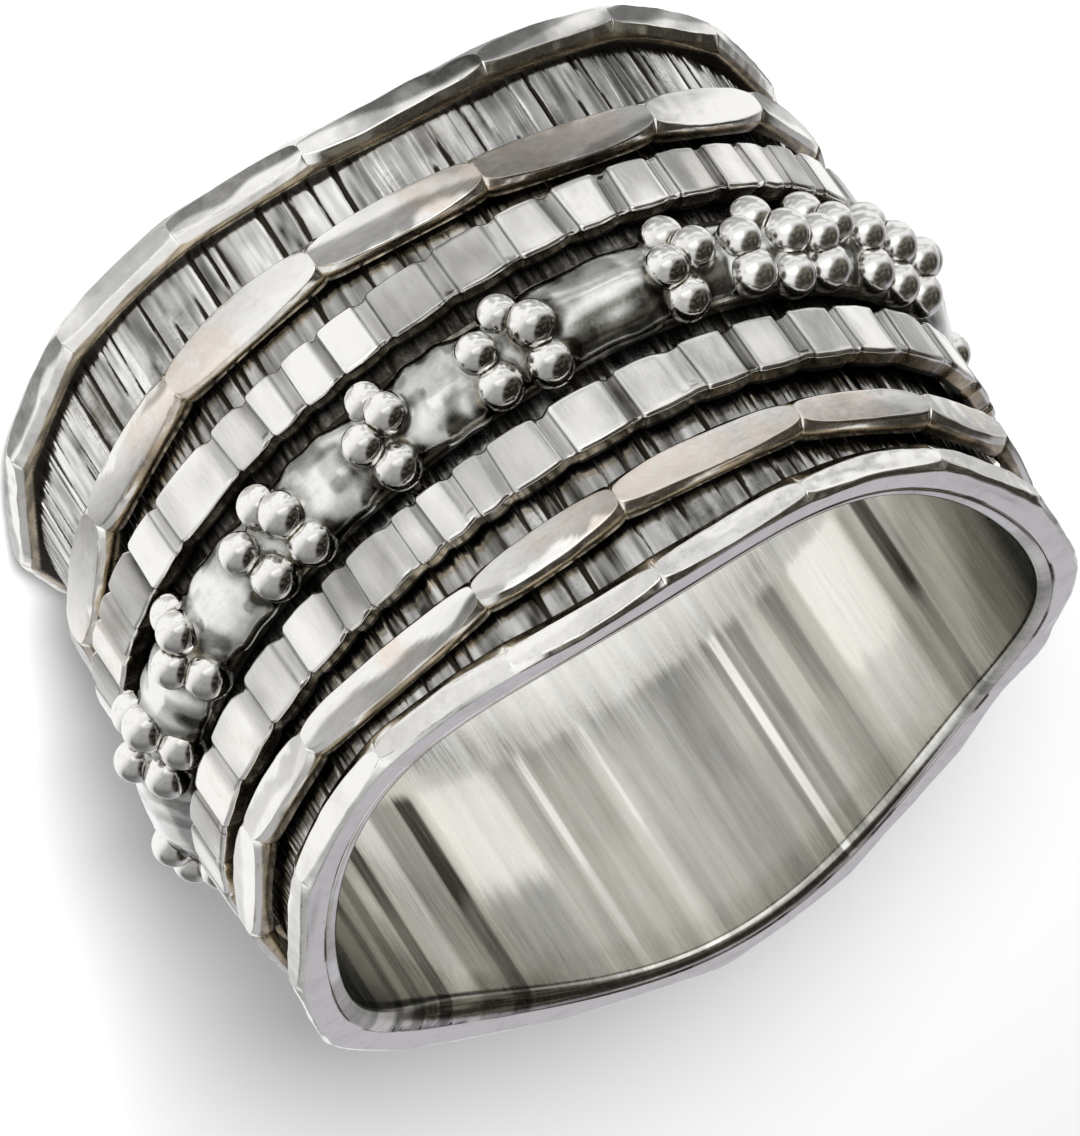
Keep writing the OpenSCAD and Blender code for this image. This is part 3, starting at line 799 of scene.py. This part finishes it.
def ball(centre, radius):
    """Points and faces of a round granule."""
    around, along = GRANULE_AROUND, GRANULE_ALONG
    lat = np.radians(np.linspace(-90, 90, along + 1)[1:-1])
    lon = np.radians(np.arange(around) * 360 / around)
    ring = np.stack([np.cos(lat)[:, None] * np.cos(lon), np.cos(lat)[:, None] * np.sin(lon),
                     np.sin(lat)[:, None] + 0 * lon], -1).reshape(-1, 3)
    points = np.vstack([ring, [[0, 0, -1], [0, 0, 1]]]) * radius + centre
    faces = []
    for i in range(along - 2):
        for j in range(around):
            j1 = (j + 1) % around
            faces.append([i * around + j, i * around + j1, (i + 1) * around + j1, (i + 1) * around + j])
    south, north = len(ring), len(ring) + 1
    last = (along - 2) * around
    for j in range(around):
        j1 = (j + 1) % around
        faces.append([south, j1, j])
        faces.append([north, last + j, last + j1])
    return points, faces


def wire_radius(angle):
    """The wire swells into a smooth bead between two clusters."""
    starts, lengths = clusters()
    size = np.full_like(angle, WIRE_R + 0.02)
    for at, length in zip(starts, lengths):
        if length <= BEAD_STEP:
            continue
        off = np.mod(angle - at, 360)
        inside = (off > 0) & (off < length)
        s = np.clip((off - BEAD_STOP) / (length - 2 * BEAD_STOP), -1, 2)
        fade = smoothstep(-0.55, 0.12, s) * (1 - smoothstep(0.88, 1.55, s))
        swell = np.exp(-((s - 0.15) / 0.28) ** 2) + np.exp(-((s - 0.85) / 0.28) ** 2)
        bead = BEAD_R - 0.02 + 0.7 * (BEAD_END_R - BEAD_R) * swell
        size = np.where(inside, size + (bead - size) * fade, size)
    return size


def soldered(wire, angle, around, balls):
    """The wire's surface, drawn up around every granule as solder does: its distance from the wire's
    middle line."""
    skin = wire + 0.8
    a_all = np.broadcast_to(angle[:, None], skin.shape)
    near = []
    for centre, radius in balls:
        at = np.degrees(np.arctan2(centre[0], -centre[1]))
        near.append(np.flatnonzero(np.abs(turned(angle, at)) < SOLDER_REACH))
    for _ in range(SOLDER_PASSES):
        points = ring_points(a_all, WIRE_AT + skin * np.cos(around), skin * np.sin(around))
        gap = skin - wire
        for (centre, radius), spots in zip(balls, near):
            to_ball = np.linalg.norm(points[spots] - centre, axis=-1) - SOLDER_SHARE * radius
            share = np.maximum(SOLDER - np.abs(gap[spots] - to_ball), 0) / SOLDER
            gap[spots] = np.minimum(gap[spots], to_ball) - share * share * SOLDER * 0.25
        skin = np.maximum(skin - gap, wire * 0.9)
    for _ in range(SLOPE_PASSES):
        padded = np.pad(skin, ((0, 0), (1, 1)), mode="edge")
        skin = np.minimum(skin, np.minimum(padded[:, :-2], padded[:, 2:]) + SLOPE_AROUND)
        skin = np.minimum(skin, np.minimum(np.roll(skin, 1, 0), np.roll(skin, -1, 0)) + SLOPE_ALONG)
    return skin


def soldered_wire(balls, material):
    """The granulated band's strap, and the wire that is soldered on it."""
    columns = WIRE_COLUMNS
    angle = np.arange(columns) * 360 / columns
    around = np.radians(np.linspace(-WIRE_SPAN, WIRE_SPAN, WIRE_ROWS))[None]
    each = np.broadcast_to(angle[:, None], (columns, WIRE_ROWS))
    lumps = lattice(each, np.degrees(around) / 30, 44, 1.0, 71)
    wide = 1 + 0.20 * smoothstep(30, 80, np.abs(np.degrees(around)))
    wire = wire_radius(angle)[:, None] * wide * (1 + 0.03 * lumps)
    skin = soldered(wire, angle, around, balls)
    r = np.maximum(WIRE_AT + skin * np.cos(around), RUN_R + STRAP_T - STRAP_EDGE)
    z = skin * np.sin(around)
    steep = np.broadcast_to(np.abs(np.degrees(around)), r.shape)
    strap = np.array([(RUN_R, -STRAP_W / 2 + 0.02), (RUN_R + STRAP_T - 0.03, -STRAP_W / 2),
                      (RUN_R + STRAP_T, -STRAP_W / 2 + STRAP_EDGE)])
    left = np.broadcast_to(strap[None], (columns, 3, 2))
    right = left[:, ::-1] * np.array([1, -1])
    r = np.concatenate([left[..., 0], r, right[..., 0]], axis=1)
    z = np.concatenate([left[..., 1], z, right[..., 1]], axis=1)
    steep = np.pad(steep, ((0, 0), (3, 3)), constant_values=180)
    a = np.broadcast_to(angle[:, None], r.shape)
    points = ring_points(a, r, z).reshape(-1, 3)
    near = np.full(len(points), 9.0)
    for centre, radius in balls:
        near = np.minimum(near, np.abs(np.linalg.norm(points - centre, axis=1) - radius))
    near = near.reshape(a.shape)
    seat = smoothstep(102, 124, steep)
    pit = (1 - smoothstep(0.02, 0.14, near)) * smoothstep(-0.3, 0.6, lattice(a, z, 200, 0.4, 73))
    soot_and_shade = np.maximum(0.62 * pit, seat * (0.62 + 0.25 * lattice(a, z, 120, 0.5, 76)))
    brown = np.maximum(0.6 * (1 - smoothstep(0.03, 0.2, near)), 0.8 * smoothstep(75, 105, steep))
    # Tone, with painted shade and painted reflection: darker towards the wire's sides and close to each
    # granule, and on the bright side darker in mottled patches of painted reflection and with painted shade
    # on its flanks above and below.
    bright_side = smoothstep(DULL_TO, DULL_FROM, turned(a, 0))
    light = 1.0 - 0.2 * smoothstep(30, 80, steep) + 0.12 * lattice(a, z, 90, 0.6, 72)
    mottled_reflection = smoothstep(0.0, 0.5, lattice(a, z, 70, 0.9, 74))
    mottled_reflection = mottled_reflection + smoothstep(0.2, 0.6, lattice(a, z, 150, 0.4, 75))
    shaded_flanks = 0.25 * smoothstep(0.2, 0.7, z) + 0.2 * smoothstep(0.35, 0.75, -z)
    light = light - bright_side * (0.36 * mottled_reflection + shaded_flanks)
    light = light - 0.5 * (1 - smoothstep(0.03, 0.36, near))
    marks = {"soot_and_shade": soot_and_shade, "brown": 0.7 * brown, "warm": np.zeros(len(points)), "tone": light}
    ring_piece("granulated_wire_dressed", a, r, z, marks, material, "granulated_spinner", "granulated_silver",
               "granulated_band")


def round_granules(balls, material):
    """All granules as one piece, with soot where they touch and a darker reflection above."""
    centres = np.array([c for c, _ in balls])
    radii = np.array([s for _, s in balls])
    all_points, faces, soot_and_shade, light, dull, total = [], [], [], [], [], 0
    for k, (centre, radius) in enumerate(balls):
        own, its_faces = ball(centre, radius)
        gap = np.linalg.norm(own[:, None] - centres[None], axis=2) - radii
        gap[:, k] = 9.0
        angle_here = np.mod(np.degrees(np.arctan2(own[:, 0], -own[:, 1])), 360)
        wire_gap = np.hypot(np.hypot(own[:, 0], own[:, 1]) - WIRE_AT, own[:, 2]) - wire_radius(angle_here)
        touch = 1 - smoothstep(-0.02, 0.07, gap.min(axis=1))
        touch = np.maximum(touch, 0.4 * (1 - smoothstep(0.0, 0.09, wire_gap)))
        soot_and_shade.append(0.8 * touch)
        up = (own[:, 2] - centre[2]) / radius
        at = math.degrees(math.atan2(centre[0], -centre[1]))
        its_dull = float(smoothstep(DULL_FROM, DULL_TO, at))
        its_dull = its_dull * (1 - float(smoothstep(DULL_BACK_FROM, DULL_BACK_TO, at)))
        # Painted reflection: each bright granule darker on its upper side; the dull ones keep no such band
        # and turn rougher and duller instead.
        band = smoothstep(0.06, 0.42, up) * (1 - smoothstep(0.88, 0.97, up))
        light.append(1 - (1 - its_dull) * 0.66 * band)
        dull.append(np.full(len(own), 1.4 * its_dull))
        all_points.append(own)
        faces += [[i + total for i in f] for f in its_faces]
        total += len(own)
    soot_and_shade = np.concatenate(soot_and_shade)
    marks = {"soot_and_shade": soot_and_shade, "brown": np.clip(soot_and_shade * 1.3, 0, 1), "warm": np.concatenate(dull),
             "tone": np.concatenate(light)}
    points = lane("granulated_spinner")(np.vstack(all_points))
    obj = make_mesh("granules_dressed", points, np.array(faces, dtype=object), marks)
    dress(obj, material, "granulated_spinner", "granulated_silver", "granulated_band")


# Studio

def studio():
    """The floor, and surroundings that only the silver sees in full: bright cards, a dark ceiling, a wall."""
    scene = bpy.context.scene
    scene.view_settings.view_transform = "Standard"
    scene.view_settings.look = "None"
    world = bpy.data.worlds.new("studio")
    scene.world = world
    world.use_nodes = True
    n = Nodes(world.node_tree)
    way = n.add("ShaderNodeTexCoord").outputs["Generated"]
    glossy = n.add("ShaderNodeLightPath").outputs["Is Glossy Ray"]
    ceiling = n.toward(way, CEILING_AT, 60, 47)
    dark = n.blend(n.ramp(n.noise(way, 2.6, 2.0), 0.46, 0.62), DARK_CEILING, PALE_CEILING)
    wall = n.toward(way, WALL_AT, 34, 14)
    panels = n.blend(n.ramp(n.noise(way, 1.8, 1.0), 0.42, 0.58, 0.84, 1.04), BLACK, WHITE)
    color = n.blend(left_to_right(n, way), BLACK, panels)
    color = n.blend(front_to_back(n, way), BLACK, color)
    color = n.blend(n.toward(way, FRONT_LIGHT, 30, 18), color, FRONT_WHITE)
    color = n.blend(ceiling, color, dark)
    color = n.blend(wall, color, LILAC)
    color = n.blend(glossy, ROOM, color)
    back = n.add("ShaderNodeBackground", {"Color": color, "Strength": 1.0})
    n.add("ShaderNodeOutputWorld", {"Surface": back.outputs[0]})

    floor_mesh = bpy.data.meshes.new("floor")
    half = FLOOR_HALF * MM
    floor_mesh.from_pydata([(-half, -half, 0), (half, -half, 0), (half, half, 0), (-half, half, 0)], [],
                           [(0, 1, 2, 3)])
    floor = bpy.data.objects.new("floor", floor_mesh)
    scene.collection.objects.link(floor)
    floor_mesh.materials.append(floor_paper())


def left_to_right(n, way):
    """How bright the surroundings are for the silver: brighter towards +X."""
    return n.ramp(n.parts(way)["X"], -0.75, 0.55, 0.92, 1.58)


def front_to_back(n, way):
    """How bright the surroundings are for the silver: white in front and grey behind."""
    return n.ramp(n.parts(way)["Y"], -0.3, 0.5, 1.0, 0.45)


def floor_paper():
    """Pale paper that glows a little; the silver sees it as bright and grey cards set out around the ring."""
    material = bpy.data.materials.new("floor_paper")
    material.use_nodes = True
    n = Nodes(material.node_tree)
    place = n.stretched(1, 1, 0)
    way = n.add("ShaderNodeVectorMath", {0: place}, operation="NORMALIZE").outputs[0]
    far = n.add("ShaderNodeVectorMath", {0: place}, operation="LENGTH").outputs["Value"]
    spot = {"X": n.parts(way)["X"], "Y": n.parts(way)["Y"], "Z": n.times(far, 0.045)}
    cards = n.noise(n.add("ShaderNodeCombineXYZ", spot).outputs[0], 3.4, 1.0)
    cards = n.ramp(cards, 0.42, 0.58, 0.54, 1.46)
    beyond = n.times(front_to_back(n, way), 1.15)
    cards = n.ramp(n.ramp(far, 38.0, 52.0), 0.0, 1.0, cards, beyond)
    cards = n.times(cards, left_to_right(n, way))
    # Painted shadow in what the silver sees: the paper darker close around the ring, out to about 14 mm from
    # its middle.
    cards = n.times(cards, n.ramp(far, 11.2, 14.0, 0.7, 1.0))
    cards = n.times(cards, n.ramp(far, 20.0, 28.0, 1.0, 1.12))
    # Inside the ring the silver sees the paper glow bright, with painted shade near the wall.
    hole = n.blend(n.ramp(far, 7.9, 8.4), HOLE_MIDDLE, HOLE_EDGE)
    seen = n.blend(n.ramp(far, 8.8, 9.4, 1.0, 0.0), n.blend(cards, BLACK, WHITE), hole)
    mirrored_paper = n.add("ShaderNodeEmission", {"Color": seen}).outputs[0]
    paper = n.add("ShaderNodeBsdfDiffuse", {"Color": PAPER}).outputs[0]
    glow = n.add("ShaderNodeEmission", {"Color": PAPER_GLOW}).outputs[0]
    both = n.add("ShaderNodeAddShader", {0: paper, 1: glow}).outputs[0]
    glossy = n.add("ShaderNodeLightPath").outputs["Is Glossy Ray"]
    pick = n.add("ShaderNodeMixShader", {0: glossy, 1: both, 2: mirrored_paper}).outputs[0]
    n.add("ShaderNodeOutputMaterial", {"Surface": pick})
    return material


def soft_light(name, azimuth, elevation, away, size, watts):
    a, e = math.radians(azimuth), math.radians(elevation)
    way = Vector((math.sin(a) * math.cos(e), -math.cos(a) * math.cos(e), math.sin(e)))
    data = bpy.data.lights.new(name, "AREA")
    data.shape = "DISK"
    data.size = size * MM
    data.energy = watts
    light = bpy.data.objects.new(name, data)
    bpy.context.scene.collection.objects.link(light)
    light.location = (Vector((0, 0, MID_Z)) + way * away) * MM
    light.visible_glossy = False
    light.rotation_mode = "QUATERNION"
    light.rotation_quaternion = (-way).to_track_quat("-Z", "Y")


def camera():
    e, roll = math.radians(CAMERA_UP), math.radians(CAMERA_ROLL)
    right, up = Vector((1, 0, 0)), Vector((0, math.sin(e), math.cos(e)))
    back = Vector((0, -math.cos(e), math.sin(e)))
    aim = AIM_RIGHT * right + AIM_UP * up + Vector((0, 0, AIM_Z))
    across = math.cos(roll) * right - math.sin(roll) * up
    above = math.sin(roll) * right + math.cos(roll) * up
    data = bpy.data.cameras.new("camera")
    data.sensor_width = SENSOR
    data.lens = SENSOR * FOCAL_PX / max(PHOTO_W, PHOTO_H)
    data.clip_start, data.clip_end = NEAREST * MM, FARTHEST * MM
    obj = bpy.data.objects.new("camera", data)
    bpy.context.scene.collection.objects.link(obj)
    turn = Matrix((across, above, back)).transposed()
    obj.matrix_world = Matrix.Translation((aim + CAMERA_AWAY * back) * MM) @ turn.to_4x4()
    bpy.context.scene.camera = obj


hammered = silver("silver_hammered", shine=0.12, haze=0.12, scratch=0.35, grain=(0.35, 0.35, 1))
fluted = silver("silver_fluted", shine=0.11, haze=0.11, grain=(1, 1, 0.25))
polished = silver("silver_polished", shine=0.11, haze=0.05, warm=DULL_SILVER, dull=0.07, scratch=0.1,
                  streaks=0.05)
satin = silver("silver_satin", shine=0.14, haze=0.10, tone=SATIN, scratch=0.2, streaks=0.16)
base = silver("silver_base", shine=0.11, haze=0.11, scratch=0.3, blotch=0.08)
inside = silver("silver_sleeve", shine=0.11, haze=0.12, tone=SLEEVE_SILVER, warm=STRAW, dull=0.0,
                scratch=0.4, grain=(1, 1, 0.05), streaks=0.2, zones=(REFLECTIONS_FROM, REFLECTIONS_TO))

sleeve(inside)
rim("base_rim_low", LOW_RIM_FLATS, LOW_RIM_START, low_edge, -1, LOW_RIM_LEVELS, base, 11)
rim("base_rim_high", HIGH_RIM_FLATS, HIGH_RIM_START, high_edge, 1, HIGH_RIM_LEVELS, base, 12)
hammered_band("hammered_band_low_dressed", "low_hammered_spinner", LOW_HAMMERED_W, LOW_BAND_WAVE,
              LOW_BAND_WAVES, LOW_BAND_CREST, LOW_BAND_FLATS, LOW_BAND_START, hammered, 21)
hammered_band("hammered_band_high_dressed", "high_hammered_spinner", HIGH_HAMMERED_W, HIGH_BAND_WAVE,
              HIGH_BAND_WAVES, HIGH_BAND_CREST, HIGH_BAND_FLATS, HIGH_BAND_START, hammered, 22)
fluted_band("fluted_band_low_dressed", "low_fluted_spinner", LOW_FLUTED_W, LOW_FLUTES, LOW_FLUTE_START,
            fluted, 31)
fluted_band("fluted_band_high_dressed", "high_fluted_spinner", HIGH_FLUTED_W, HIGH_FLUTES, HIGH_FLUTE_START,
            fluted, 32)
granulation = granules()
soldered_wire(granulation, satin)
round_granules(granulation, polished)
studio()
soft_light("key", azimuth=-5, elevation=23, away=320, size=60, watts=3.6)
camera()
